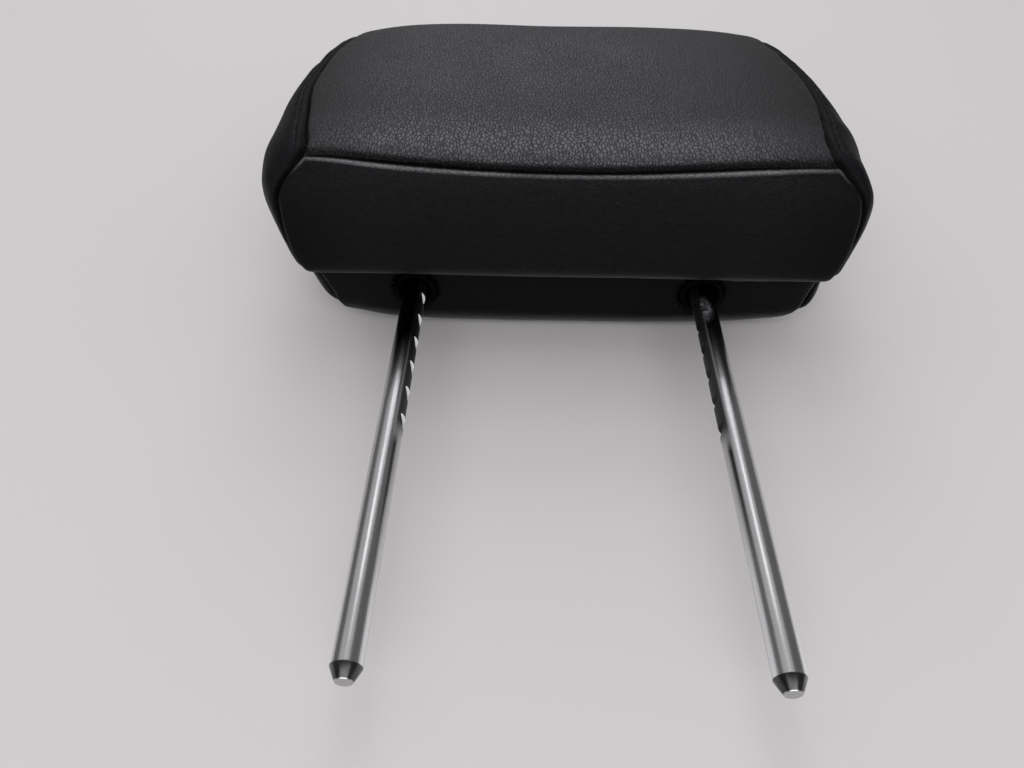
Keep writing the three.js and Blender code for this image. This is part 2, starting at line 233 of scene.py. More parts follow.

# %% [markdown]
# ## Leather
# The cover is black automotive leather with a printed grain of small pebbles. Just above the chin
# seam the front is bent and stretched, and there the creases between the pebbles stand open as a
# crackle that runs upwards and fades out. That band is painted paler, partly as wear and partly as
# painted sheen, and the paleness fades towards the ends as painted shade. On the chin the grain is
# fine and lies across. The lip at the seam carries a painted highlight, and the chin is painted
# darker towards its fold and its ends, as painted shade. The back's underside is painted the
# blackest, as painted shade. Cells that measure the distance to their edge give the creases and
# noise bends them. Grime and painted shade darken the leather in the crevices of the seams: each
# panel will carry its distance to the nearest seam as an attribute, in widths of that seam's roll.

# %% Mix the leather
HIDE = (0.0066, 0.0068, 0.0079, 1)
SEAM_GRIME_AND_SHADE = (0.0012, 0.0012, 0.0014, 1)
RUBBED_AND_SHEEN = (0.064, 0.065, 0.077, 1)
LIP_HIGHLIGHT = (0.19, 0.192, 0.2, 1)
STREAK = 1.3 * MM
DEEP_GRAIN = 0.34 * MM
GRAIN = 0.3 * MM
CRACKLE_FROM = 6 * MM
CRACKLE_TO = 52 * MM
CHIN_FRONT = -86 * MM
CHIN_FOLD = -34 * MM
FRONT_MIDDLE = 65 * MM
CHIN_MIDDLE = 85 * MM
CHIN_END = 146 * MM
UNDERSIDE = 9 * MM
SPECK_PLACE = (-35.6 * MM, -29.9 * MM, -16.2 * MM)
SPECK = (0.10, 0.10, 0.10, 1)


def shade(colour, factor):
    return tuple(factor * channel for channel in colour[:3]) + (1,)


class Leather:
    """The values that the four leathers have in common."""

    def __init__(self, name, stretch, pebble, shine):
        self.finish = Finish(name, {"Specular IOR Level": shine})
        place = self.finish.place(stretch)
        bent = self.finish.wander(place, 2.5 * pebble, 1.1 * pebble)
        self.pebbles = self.finish.creases(bent, pebble).above(0.0, 0.16)
        self.pores = self.finish.mottle(place, 0.4 * pebble, detail=2)
        self.cloud = self.finish.mottle(self.finish.place(), 34 * MM)
        self.seam = self.finish.value("ShaderNodeAttribute", {"attribute_name": "seam"}, {}, "Fac")
        self.hide = self.finish.blend(self.cloud, shade(HIDE, 0.9), shade(HIDE, 1.25))

    def finished(self, depth, crease, relief):
        """depth: how deep the creases are, crease: how dark."""
        finish = self.finish
        finish.relief(self.pebbles * depth + self.pores * 0.25, relief, 0.9)
        creased = finish.blend(crease, self.hide, shade(HIDE, 0.3))
        colour = finish.blend(self.pebbles, creased, self.hide)
        # Grime and painted shade darken the leather in the crevice of each seam.
        clear_of_seam = self.seam.above(0.55, 1.5)
        finish.drive("Base Color", finish.blend(clear_of_seam, SEAM_GRIME_AND_SHADE, colour))
        finish.drive("Roughness", 0.56 - self.pebbles * 0.1 + self.cloud * 0.08)
        return finish.material


def front_leather():
    leather = Leather("leather_front", (1, 1, 0.5), 1.6 * MM, 0.33)
    finish = leather.finish
    near_chin_seam = 1 - finish.along("Z").above(CRACKLE_FROM, CRACKLE_TO)
    near_chin_seam = near_chin_seam * near_chin_seam
    ends = finish.aside().above(FRONT_MIDDLE, CHIN_END)
    # The band over the chin seam is paler, partly wear and partly painted sheen; it fades at the ends
    # as painted shade.
    rubbed_and_sheen = near_chin_seam * (0.45 + leather.cloud) * (1 - ends * 0.85)
    leather.hide = finish.blend(rubbed_and_sheen.clamped(), leather.hide, RUBBED_AND_SHEEN)
    depth = 0.18 + leather.cloud * 0.3 + near_chin_seam * 0.7
    return leather.finished(depth, 0.25 + near_chin_seam * 0.45, DEEP_GRAIN)


def chin_leather():
    leather = Leather("leather_chin", (0.4, 1, 1), 1.0 * MM, 0.08)
    finish = leather.finish
    # Painted shade: the chin darkens towards its fold and towards its ends.
    shaded_toward_fold = finish.along("Y").above(CHIN_FRONT, CHIN_FOLD)
    ends = finish.aside().above(CHIN_MIDDLE, CHIN_END)
    streaks = finish.mottle(finish.place((0.3, 1, 1)), STREAK, detail=3).above(0.35, 0.7)
    leather.hide = finish.blend(streaks, leather.hide, shade(HIDE, 1.6))
    leather.hide = finish.blend(shaded_toward_fold * 0.4 + ends * 0.6, leather.hide, shade(HIDE, 0.1))
    # Painted highlight along the lip under the chin seam.
    lip = leather.seam.above(0.75, 1.1) - leather.seam.above(1.3, 2.3)
    bold = finish.value("ShaderNodeAttribute", {"attribute_name": "bold"}, {}, "Fac")
    lip = lip * bold * (0.4 + leather.cloud) * (1 - ends * 0.7)
    leather.hide = finish.blend(lip, leather.hide, LIP_HIGHLIGHT)
    spot = finish.near(SPECK_PLACE, 0.4 * MM, 1.0 * MM)
    leather.hide = finish.blend(spot, leather.hide, SPECK)
    return leather.finished(0.15 + leather.cloud * 0.25, 0.6, DEEP_GRAIN)


def back_leather():
    leather = Leather("leather_back", (1, 1, 0.75), 1.4 * MM, 0.1)
    # Painted shade: the back's underside is darkened.
    under = 1 - leather.finish.along("Z").above(0, UNDERSIDE)
    leather.hide = leather.finish.blend(under, leather.hide, shade(HIDE, 0.25))
    return leather.finished(0.1 + leather.cloud * 0.25, 0.5, GRAIN)


def side_leather():
    leather = Leather("leather_side", (1, 0.8, 0.8), 1.3 * MM, 0.05)
    return leather.finished(0.1 + leather.cloud * 0.25, 0.5, GRAIN)


LEATHER = {
    "front_panel": front_leather(),
    "chin_panel": chin_leather(),
    "back_panel": back_leather(),
    "side_panel": side_leather(),
}
print("leathers:", len(LEATHER))

# %% [markdown]
# ## Chrome, plastic, foam and thread
# The rod is polished chrome with fine lengthwise scratches. The photo shows its posts black at their
# upper ends and on their notched inner sides. On the notched sides that is read as grime; the upper
# ends are partly soot and partly a painted reflection of the dark cushion in the chrome. The
# notches' upper faces on the left post carry a painted glint: a matt light colour in place of the
# glints there. The right post has a dusty patch, and the coned tips carry a painted dark reflection.
# Masks on a point's height and its distance from the middle put each of these in its place. The
# collars and the hooked closing strips are black plastic. Foam shows its open cells, and the thread
# its twist.

# %% Mix the other finishes
DULL_CHROME = (0.40, 0.40, 0.41, 1)
CLEAN_CHROME = (0.58, 0.58, 0.59, 1)
SOOT_AND_REFLECTION = (0.01, 0.01, 0.011, 1)
DUST = (0.14, 0.145, 0.16, 1)
GRIME = (0.003, 0.003, 0.003, 1)
GLINT_FACE = (0.75, 0.75, 0.74, 1)
TIP_REFLECTION = (0.03, 0.03, 0.032, 1)
DUSTY_PLACE = (74.6 * MM, -6 * MM, -18 * MM)
GRIME_INNER = 72.6 * MM
GRIME_OUTER = 74.2 * MM
GRIME_LOW = -112 * MM
GRIME_HIGH = -96 * MM
PLASTIC_DARK = (0.001, 0.001, 0.0012, 1)
PLASTIC_LIGHT = (0.002, 0.002, 0.0025, 1)
FOAM_PITS = (0.35, 0.30, 0.20, 1)
OLD_FOAM = (0.52, 0.46, 0.32, 1)
NEW_FOAM = (0.68, 0.63, 0.48, 1)
THREAD_DARK = (0.006, 0.006, 0.007, 1)
THREAD_LIGHT = (0.016, 0.016, 0.018, 1)
CONE_TOP = -209.3 * MM
CONE_END = -214.35 * MM
BLEND = 0.3 * MM
DARK_END_LOW = -58 * MM
DARK_END_HIGH = -6 * MM
DARK_END_SHIFT = 18 * MM
DARK_END_RAGGED = 24 * MM
NOTCH_TOP = -8 * MM
NOTCH_PITCH = 17.2 * MM
NOTCH_FACE = 1.1 * MM
NOTCH_LIP = 71.6 * MM


def chrome():
    finish = Finish("chrome", {"Specular IOR Level": 0.06})
    height = finish.along("Z")
    left = 1 - finish.along("X").above(-MM, MM)
    scratches = finish.mottle(finish.place((1, 1, 0.02)), 0.5 * MM, detail=4, roughness=0.7)
    stains = finish.mottle(finish.place((1, 1, 0.35)), 9 * MM, detail=5)
    patch = finish.near(DUSTY_PLACE, 2 * MM, 6 * MM, (1, 1, 0.5))
    flakes = finish.mottle(finish.place(), 2 * MM, detail=5).above(0.35, 0.65)
    dust = patch * (0.25 + flakes * 0.75)
    upper = height.above(GRIME_LOW, GRIME_HIGH)
    grime = (1 - finish.aside().above(GRIME_INNER, GRIME_OUTER)) * upper * 0.95
    # Dark upper ends: partly soot, partly a painted reflection of the dark cushion.
    soot_and_reflection = (height + left * DARK_END_SHIFT + stains * DARK_END_RAGGED).above(DARK_END_LOW, DARK_END_HIGH)
    highest = NOTCH_TOP + NOTCH_FACE
    turn = height.math("WRAP", height, highest, highest - NOTCH_PITCH)
    inside = 1 - finish.aside().above(NOTCH_LIP, NOTCH_LIP + BLEND)
    # Painted glint on the upper faces of the left post's notches.
    faces = turn.above(NOTCH_TOP - 0.2 * MM, NOTCH_TOP) * inside * upper * left
    cone = height.above(CONE_END, CONE_END + BLEND) - height.above(CONE_TOP, CONE_TOP + BLEND)
    colour = finish.blend(stains, DULL_CHROME, CLEAN_CHROME)
    colour = finish.blend(soot_and_reflection, colour, SOOT_AND_REFLECTION)
    colour = finish.blend(dust, colour, DUST)
    colour = finish.blend(grime, colour, GRIME)
    colour = finish.blend(faces, colour, GLINT_FACE)
    # Painted dark reflection on the coned tips.
    colour = finish.blend(cone * (0.7 + stains * 0.4), colour, TIP_REFLECTION)
    finish.drive("Base Color", colour)
    finish.drive("Metallic", 1 - (dust * 0.9 + grime * 0.95 + faces).clamped())
    finish.drive("Roughness", 0.16 + scratches * 0.18 + dust * 0.4 + grime * 0.3)
    finish.relief(scratches, 0.01 * MM, 0.35)
    return finish.material


def plastic():
    finish = Finish("black_plastic", {"Specular IOR Level": 0.02})
    grain = finish.mottle(finish.place(), 0.5 * MM, detail=4)
    cloud = finish.mottle(finish.place(), 6 * MM)
    finish.drive("Base Color", finish.blend(cloud, PLASTIC_DARK, PLASTIC_LIGHT))
    finish.drive("Roughness", 0.5 + cloud * 0.18)
    finish.relief(grain, 0.03 * MM, 0.4)
    return finish.material


def foam():
    finish = Finish("foam", {"Specular IOR Level": 0.2})
    cells = finish.creases(finish.place(), 0.9 * MM).above(0.0, 0.3)
    cloud = finish.mottle(finish.place(), 20 * MM)
    skin = finish.blend(cloud, OLD_FOAM, NEW_FOAM)
    finish.drive("Base Color", finish.blend(cells, FOAM_PITS, skin))
    finish.drive("Roughness", 0.85 + cloud * 0.1)
    finish.relief(cells, 0.3 * MM, 0.8)
    return finish.material


def thread():
    finish = Finish("thread", {"Specular IOR Level": 0.3})
    twist = finish.mottle(finish.place(), 0.25 * MM, detail=2)
    finish.drive("Base Color", finish.blend(twist, THREAD_DARK, THREAD_LIGHT))
    finish.drive("Roughness", 0.5 + twist * 0.2)
    finish.relief(twist, 0.08 * MM, 0.6)
    return finish.material


CHROME = chrome()
PLASTIC = plastic()
FOAM = foam()
THREAD = thread()
print("finishes:", [m.name for m in (CHROME, PLASTIC, FOAM, THREAD)])

# %% [markdown]
# ## Putting a piece in the scene
# Every new piece is shaped in a bmesh, gets its finish, rides on the headrest's only body and hides
# the imported part it stands for. One function does that, so no piece can forget a step.

# %% Finish a mesh as a piece
def add_piece(name, shape, material, stands_for=(), sharp=None):
    mesh = bpy.data.meshes.new(name)
    shape.to_mesh(mesh)
    shape.free()
    for polygon in mesh.polygons:
        polygon.use_smooth = True
    if sharp is not None:
        mesh.set_sharp_from_angle(angle=math.radians(sharp))
    mesh.materials.append(material)
    piece = bpy.data.objects.new(name, mesh)
    bpy.context.collection.objects.link(piece)
    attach(piece, "root")
    if stands_for:
        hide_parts(*stands_for)
    print(name, len(mesh.polygons), "faces")
    return piece


# %% [markdown]
# ## From a faceted panel to smooth leather
# A CAD panel is a thin closed sheet with flat facets. Only its outer face matters for the looks. The
# copy is merged, and a flood fill from the outermost face stops at the sharp turn of its rim, so it
# keeps the outer face alone. Triangles are joined to quads, because subdivision runs smoothly over
# quads.

# %% Take the outer face of a panel
RIM_TURN = math.radians(62)


def outer_face(node, outwards):
    shape = bmesh.new()
    shape.from_mesh(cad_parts[node].data)
    bmesh.ops.remove_doubles(shape, verts=shape.verts, dist=0.01 * MM)
    shape.normal_update()
    start = max(shape.faces, key=lambda face: face.calc_center_median().dot(outwards))
    kept = {start}
    queue = [start]
    while queue:
        face = queue.pop()
        for edge in face.edges:
            if edge.calc_face_angle(math.pi) > RIM_TURN:
                continue
            for other in edge.link_faces:
                if other not in kept:
                    kept.add(other)
                    queue.append(other)
    rest = [f for f in shape.faces if f not in kept]
    bmesh.ops.delete(shape, geom=rest, context="FACES")
    bmesh.ops.join_triangles(
        shape,
        faces=shape.faces,
        angle_face_threshold=math.radians(50),
        angle_shape_threshold=math.radians(80),
    )
    return shape


# %% [markdown]
# Subdivision pulls a surface inside its corner points, which would thin the cushion. So the corner
# points are moved outwards until the subdivided surface passes through the places where they were:
# a few rounds of adding the miss back are enough.

# %% Subdivide without shrinking
FITTING_ROUNDS = 5


def evaluated_mesh(obj):
    graph = bpy.context.evaluated_depsgraph_get()
    return bpy.data.meshes.new_from_object(obj.evaluated_get(graph), depsgraph=graph)


def smooth_through(shape, levels):
    cage = bpy.data.meshes.new("cage")
    shape.to_mesh(cage)
    shape.free()
    holder = bpy.data.objects.new("cage", cage)
    bpy.context.collection.objects.link(holder)
    modifier = holder.modifiers.new("smooth", "SUBSURF")
    modifier.boundary_smooth = "PRESERVE_CORNERS"
    modifier.levels = modifier.render_levels = 1
    wanted = [vertex.co.copy() for vertex in cage.vertices]
    for _ in range(FITTING_ROUNDS):
        reached = evaluated_mesh(holder)
        for vertex, target in zip(cage.vertices, wanted):
            vertex.co += target - reached.vertices[vertex.index].co
        bpy.data.meshes.remove(reached)
    modifier.levels = modifier.render_levels = levels
    dense = evaluated_mesh(holder)
    result = bmesh.new()
    result.from_mesh(dense)
    bpy.data.objects.remove(holder)
    bpy.data.meshes.remove(dense)
    bpy.data.meshes.remove(cage)
    result.normal_update()
    return result


# %% [markdown]
# ## The panels, one by one
# The cover is cut from five pieces: the front, the chin, the back and a side at each end. Every row
# below says which way a panel faces and, in millimetres, how deep its puckers are, how much it
# ripples along its seam, how uneven the foam makes it, and how proud its topstitched hem stands.

# %% Make the smooth panels
SMOOTHING = 4
CHIN_RIPPLE = 0.3
SIDE_HEM = 0.6
PANELS = {
    "front_panel": {"out": (0, -1, 0), "pucker": 0.3, "ripple": 0, "wave": 0.5, "hem": 0, "seed": 1},
    "chin_panel": {
        "out": (0, 0, -1), "pucker": 0.2, "ripple": CHIN_RIPPLE, "wave": 0.5, "hem": 0, "seed": 2
    },
    "back_panel": {"out": (0, 1, 0), "pucker": 0.3, "ripple": 0, "wave": 0.5, "hem": 0, "seed": 3},
    "left_side_panel": {
        "out": (-1, 0, 0), "pucker": 0.3, "ripple": 0, "wave": 0.7, "hem": SIDE_HEM, "seed": 4
    },
    "right_side_panel": {
        "out": (1, 0, 0), "pucker": 0.3, "ripple": 0, "wave": 0.7, "hem": SIDE_HEM, "seed": 5
    },
}
sheets = {
    node: smooth_through(outer_face(node, Vector(plan["out"])), SMOOTHING)
    for node, plan in PANELS.items()
}
for node, sheet in sheets.items():
    print(node, len(sheet.faces), "faces")

# %% [markdown]
# ## An uneven cushion
# A used cushion isn't the same on the left and on the right. A few broad pushes, each with a middle,
# a reach and a direction in millimetres, bring the outline to the one in the picture. They depend
# on the place alone, so the panels stay joined at their seams.

# %% Push the cushion out of shape
PUSHES = [
    ((-146, -70, 58), 28, (-2, 0, 0)),
    ((-135, -78, 112), 32, (1.8, 0, 0)),
    ((-143, -65, -4), 16, (-1.5, 0, 0)),
    ((134, -76, 112), 34, (-5, 0, 0)),
    ((146, -70, 46), 18, (2, 0, 0)),
    ((147, -67, 12), 17, (-2.6, 0, 0)),
    ((-55, -80, 150), 48, (0, 0, 2.5)),
    ((136, 6, 4), 26, (7, 0, -1)),
    ((124, 14, 5), 14, (3, 0, 0)),
    ((-116, -86, 8), 26, (0, 0, 4)),
]


def pushed(place):
    total = Vector()
    for middle, reach, push in PUSHES:
        distance = (place / MM - Vector(middle)).length
        total += math.exp(-((distance / reach) ** 2)) * Vector(push)
    return place + total * MM


for sheet in sheets.values():
    for vertex in sheet.verts:
        vertex.co = pushed(vertex.co)
    sheet.normal_update()
print("pushes:", len(PUSHES))

# %% [markdown]
# ## Where two panels meet
# In a sewn seam both leathers turn down into the same line. The rims of the panels still lie a
# little apart, each on its own. For each point of a rim the nearest place on the other panels' rims
# is looked up, and the two share the point halfway and the mean of their directions. At the closure
# under the chin a rim has no partner, so it keeps its own place.

# %% Find the partner of each rim point
LONGEST_GAP = 2.5 * MM


def ramp(value, low, high):
    share = min(1, max(0, (value - low) / (high - low)))
    return share * share * (3 - 2 * share)


class Rim:
    """The open edge of a panel and the directions of its surface there."""

    def __init__(self, shape):
        edge = [vertex for vertex in shape.verts if vertex.is_boundary]
        self.indices = [vertex.index for vertex in edge]
        self.points = [vertex.co.copy() for vertex in edge]
        self.normals = [vertex.normal.copy() for vertex in edge]
        self.tree = KDTree(len(edge))
        for index, point in enumerate(self.points):
            self.tree.insert(point, index)
        self.tree.balance()

    def nearest(self, place):
        """The nearest point between this rim's two closest vertices, and the direction there."""
        (a, first, _), (b, second, _) = self.tree.find_n(place, 2)
        _, share = intersect_point_line(place, a, b)
        share = min(1, max(0, share))
        return a.lerp(b, share), self.normals[first].lerp(self.normals[second], share)


def seam_line(point, normal, others):
    """The middle of the seam beside a rim point, and the direction out of it."""
    found = [rim.nearest(point) for rim in others]
    partner, direction = min(found, key=lambda pair: (pair[0] - point).length)
    if (partner - point).length > LONGEST_GAP:
        return point, normal
    return (point + partner) / 2, (normal + direction).normalized()


for sheet in sheets.values():
    sheet.verts.ensure_lookup_table()
    sheet.verts.index_update()
    sheet.normal_update()
rims = {node: Rim(sheet) for node, sheet in sheets.items()}
print("rim points:", {node: len(rim.points) for node, rim in rims.items()})

# %% [markdown]
# Each rim point now gets a target at the bottom of the seam, with a hair's breadth between the two
# leathers. The seam over the chin is the boldest: both panels turn over a thick edge there.

# %% Set the depth of the seams
SIDE_ROLL = (2.0 * MM, 1.4 * MM)
CHIN_ROLL = (2.6 * MM, 2.3 * MM)
SLIT = 0.05 * MM


def chin_share(place):
    """1 on the seam over the chin, 0 on every other seam."""
    forward = ramp(-place.y, 70 * MM, 80 * MM)
    high_enough = ramp(place.z, -12 * MM, -6 * MM)
    low_enough = 1 - ramp(place.z, 12 * MM, 26 * MM)
    return forward * high_enough * low_enough


def roll_of(place):
    """Depth and width of the roll into the seam."""
    bold = chin_share(place)
    return [side + bold * (chin - side) for side, chin in zip(SIDE_ROLL, CHIN_ROLL)]


def seam_bottoms(node):
    """For each rim point of a panel, its move to the bottom of the seam and the direction down."""
    others = [rim for other, rim in rims.items() if other != node]
    moves = []
    for point, normal in zip(rims[node].points, rims[node].normals):
        middle, direction = seam_line(point, normal, others)
        aside = point - middle
        if aside.length > 0:
            middle = middle + SLIT * aside.normalized()
        depth, _ = roll_of(point)
        moves.append((middle - depth * direction - point, -direction))
    return moves


bottoms = {node: seam_bottoms(node) for node in PANELS}
deepest = max(move.length for moves in bottoms.values() for move, _ in moves)
print("deepest seam:", round(deepest / MM, 2), "mm")

# %% [markdown]
# Leather rolls in ever more steeply over the last millimetres before a seam. The stitches gather it
# into small puckers that run out over a centimetre, on the chin it ripples along the seam, and
# beyond that it lies over foam that is never quite even. A side panel has a hem besides: a puffed
# band that ends in the groove of its topstitching. All of it depends on how far a point is from the
# nearest rim point and where that lies, so displacement by a formula shapes it well. A cloth
# simulation would give the same calm surface over firm foam, but not seams at known places.

# %% Roll, pucker and wave the leather
PUCKER_PITCH = 7 * MM
PUCKER_REACH = 9 * MM
RIPPLE_LENGTH = 17 * MM
RIPPLE_WIDTH = 2.6 * MM
RIPPLE_REACH = 5 * MM
WAVE_LENGTH = 55 * MM
HEM_WIDTH = 5 * MM
GROOVE_WIDTH = 0.8 * MM
ROLL_POWER = 1.25


def stitched(place):
    """1 where a side panel is topstitched, 0 beside the chin and under the cushion."""
    return ramp(place.z, 0, 12 * MM)


def relief(vertex, rim_point, distance, plan, shift):
    """How far a point stands out for puckers, ripples, waves and the hem, in metres."""
    start = min(1, distance / (1.5 * MM))
    drawn_out = rim_point + 0.25 * (vertex.co - rim_point)
    fade = start * math.exp(-distance / PUCKER_REACH)
    coarse = noise.noise(drawn_out / PUCKER_PITCH + shift)
    fine = noise.noise(drawn_out / (0.45 * PUCKER_PITCH) + shift)
    height = plan["pucker"] * fade * (coarse + 0.5 * fine)
    along = Vector((vertex.co.x / RIPPLE_LENGTH, distance / RIPPLE_WIDTH, 0))
    more_right = ramp(vertex.co.x, -60 * MM, 50 * MM)
    crowd = start * math.exp(-distance / RIPPLE_REACH) * chin_share(rim_point)
    height += plan["ripple"] * crowd * (0.4 + 0.6 * more_right) * noise.noise(along + shift)
    inside = min(1, distance / (12 * MM))
    height += plan["wave"] * inside * noise.noise(vertex.co / WAVE_LENGTH + shift)
    puff = math.sin(math.pi * min(1, distance / HEM_WIDTH))
    groove = math.exp(-(((distance - HEM_WIDTH) / GROOVE_WIDTH) ** 2))
    height += plan["hem"] * stitched(rim_point) * (0.6 * puff - groove)
    return height * MM


def upholster(node):
    plan = PANELS[node]
    shift = Vector((3.7, 1.3, 2.9)) * plan["seed"]
    seam = sheets[node].verts.layers.float.new("seam")
    bold = sheets[node].verts.layers.float.new("bold")
    steps = []
    for vertex in sheets[node].verts:
        rim_point, index, distance = rims[node].tree.find(vertex.co)
        _, width = roll_of(rim_point)
        vertex[seam] = distance / width
        vertex[bold] = chin_share(rim_point)
        move, _ = bottoms[node][index]
        roll = math.exp(-((distance / width) ** ROLL_POWER)) * move
        steps.append(roll + relief(vertex, rim_point, distance, plan, shift) * vertex.normal)
    for vertex, step in zip(sheets[node].verts, steps):
        vertex.co += step
    sheets[node].normal_update()


for node in PANELS:
    upholster(node)
print("upholstered:", len(PANELS), "panels")

# %% [markdown]
# ## Topstitching
# Five millimetres outside each side seam a row of stitches holds the seam's hem flat. A stitch is a
# short thick thread that dips into the leather at both ends. One is made from a sphere, drawn out
# and bent, and copies are laid along the line where a step of the hem's width from the rim meets
# the surface.

# %% Lay the stitches
STITCH_LENGTH = 4.2 * MM
STITCH_PITCH = 5.2 * MM
THREAD_RADIUS = 0.34 * MM
STITCH_DIP = 1.1
STITCH_LIFT = 0.25


def rim_chain(shape):
    """The rim's vertices in order, once round."""
    first = next(edge for edge in shape.edges if edge.is_boundary)
    chain = [first.verts[0], first.verts[1]]
    used = {first}
    while True:
        step = next((e for e in chain[-1].link_edges if e.is_boundary and e not in used), None)
        if step is None:
            return chain[:-1]
        used.add(step)
        chain.append(step.other_vert(chain[-1]))


def stitch_places(node):
    """Midpoints, directions and normals of the stitches beside a side panel's seam."""
    surface = BVHTree.FromBMesh(sheets[node])
    normals = dict(zip(rims[node].indices, (-down for _, down in bottoms[node])))
    chain = rim_chain(sheets[node])
    middle = sum((vertex.co for vertex in chain), Vector()) / len(chain)
    places = []
    walked = STITCH_PITCH
    for before, vertex, after in zip(chain[-1:] + chain[:-1], chain, chain[1:] + chain[:1]):
        walked += (vertex.co - before.co).length
        if walked < STITCH_PITCH or stitched(vertex.co) < 0.9:
            continue
        along = (after.co - before.co).normalized()
        inwards = along.cross(normals[vertex.index]).normalized()
        if inwards.dot(middle - vertex.co) < 0:
            inwards = -inwards
        point, normal, _, _ = surface.find_nearest(vertex.co + HEM_WIDTH * inwards)
        if normal.dot(normals[vertex.index]) < 0:
            normal = -normal
        places.append((point, along, normal))
        walked = 0
    return places


def add_stitch(shape, point, along, normal):
    made = bmesh.ops.create_uvsphere(shape, u_segments=8, v_segments=6, radius=1)["verts"]
    side = normal.cross(along).normalized()
    turned = Matrix((side, normal, along)).transposed()
    for vertex in made:
        x, y, z = vertex.co
        across = THREAD_RADIUS * x
        out = THREAD_RADIUS * (y + STITCH_LIFT - STITCH_DIP * z ** 4)
        vertex.co = point + turned @ Vector((across, out, STITCH_LENGTH / 2 * z))


for side in ("left", "right"):
    stitches = bmesh.new()
    places = stitch_places(side + "_side_panel")
    for point, along, normal in places:
        add_stitch(stitches, point, along, normal)
    add_piece(side + "_topstitching", stitches, THREAD)
    print(side, "stitches:", len(places))

# %% [markdown]
# ## Turning the rims in
# At the bottom of a seam the leather goes on into the cushion. The rim is extruded straight down
# there, so that the two leathers stand side by side in the crevice and nothing shows between them.
# Then the panels are ready to be placed.

# %% Turn the rims in and place the panels
TURN_IN = 2.4 * MM


def turn_in(node):
    shape = sheets[node]
    shape.verts.ensure_lookup_table()
    below = {}
    for index, (_, down) in zip(rims[node].indices, bottoms[node]):
        below[shape.verts[index].co.copy().freeze()] = TURN_IN * down
    edges = [edge for edge in shape.edges if edge.is_boundary]
    made = bmesh.ops.extrude_edge_only(shape, edges=edges)["geom"]
    for vertex in (g for g in made if isinstance(g, bmesh.types.BMVert)):
        vertex.co += below[vertex.co.copy().freeze()]


for node in PANELS:
    turn_in(node)
    material = LEATHER["side_panel" if "side" in node else node]
    piece = add_piece("leather_" + node, sheets[node], material, [node])

# %% [markdown]
# ## Rod
# The posts and the bar between them are one bright steel rod. Its section is a circle: it starts as
# the flat end of a tip, widens over the cone, is drawn up as a post, spun round the bend, drawn
# across, and back down on the other side. The place and the size come from the frame.

# %% Draw the rod
ROD_SIDES = 72
BEND_STEPS = 20
BEND_RADIUS = 24 * MM
POST_RADIUS = 6 * MM
TIP_LENGTH = 5.4 * MM
TIP_RADIUS = 3.3 * MM
frame_low, frame_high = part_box("support_frame")
collar_low, collar_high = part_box("right_post_collar")
post_x = (collar_low[0] + collar_high[0]) / 2
post_bottom = frame_low[2]
rod_top = frame_high[2] - POST_RADIUS


def drawn(shape, edges, move=(0, 0, 0), widen=1.0, about=(0, 0, 0)):
    """Extrudes a ring of edges, moves it and widens it about a point."""
    made = bmesh.ops.extrude_edge_only(shape, edges=edges)["geom"]
    verts = [g for g in made if isinstance(g, bmesh.types.BMVert)]
    bmesh.ops.translate(shape, verts=verts, vec=move)
    space = Matrix.Translation(-Vector(about))
    bmesh.ops.scale(shape, verts=verts, vec=(widen, widen, 1), space=space)
    return [g for g in made if isinstance(g, bmesh.types.BMEdge)]


def bent(shape, edges, centre):
    """Spins a ring of edges through a quarter turn about a centre, towards +X."""
    made = bmesh.ops.spin(
        shape, geom=edges, cent=centre, axis=(0, 1, 0), angle=math.radians(90), steps=BEND_STEPS
    )["geom_last"]
    return [g for g in made if isinstance(g, bmesh.types.BMEdge)]


def rod():
    shape = bmesh.new()
    bmesh.ops.create_circle(shape, segments=ROD_SIDES, radius=TIP_RADIUS, cap_ends=True)
    bmesh.ops.translate(shape, verts=shape.verts, vec=(-post_x, 0, post_bottom))
    edges = list(shape.edges)
    widen = POST_RADIUS / TIP_RADIUS
    edges = drawn(shape, edges, (0, 0, TIP_LENGTH), widen, (-post_x, 0, 0))
    straight = rod_top - BEND_RADIUS - post_bottom - TIP_LENGTH
    edges = drawn(shape, edges, (0, 0, straight))
    edges = bent(shape, edges, (-post_x + BEND_RADIUS, 0, rod_top - BEND_RADIUS))
    edges = drawn(shape, edges, (2 * (post_x - BEND_RADIUS), 0, 0))
    edges = bent(shape, edges, (post_x - BEND_RADIUS, 0, rod_top - BEND_RADIUS))
    edges = drawn(shape, edges, (0, 0, -straight))
    edges = drawn(shape, edges, (0, 0, -TIP_LENGTH), 1 / widen, (post_x, 0, 0))
    bmesh.ops.holes_fill(shape, edges=edges)
    bmesh.ops.remove_doubles(shape, verts=shape.verts, dist=0.001 * MM)
    bmesh.ops.recalc_face_normals(shape, faces=shape.faces)
    return shape


# %% [markdown]
# Six notches are cut into the inner side of each post, where the seat's latch holds the headrest at
# its height. Each is nearly square above and runs out below. A Boolean modifier cuts them, and a
# fine bevel on every sharp edge gives the light something to catch.

# %% Cut the notches
NOTCHES = 6
NOTCH_LENGTH = 5.5 * MM
NOTCH_FLOOR = 1.65 * MM
NOTCH_DEPTH = 2 * MM
NOTCH_DRAFT = 0.55 * MM
EDGE_BEVEL = 0.14 * MM


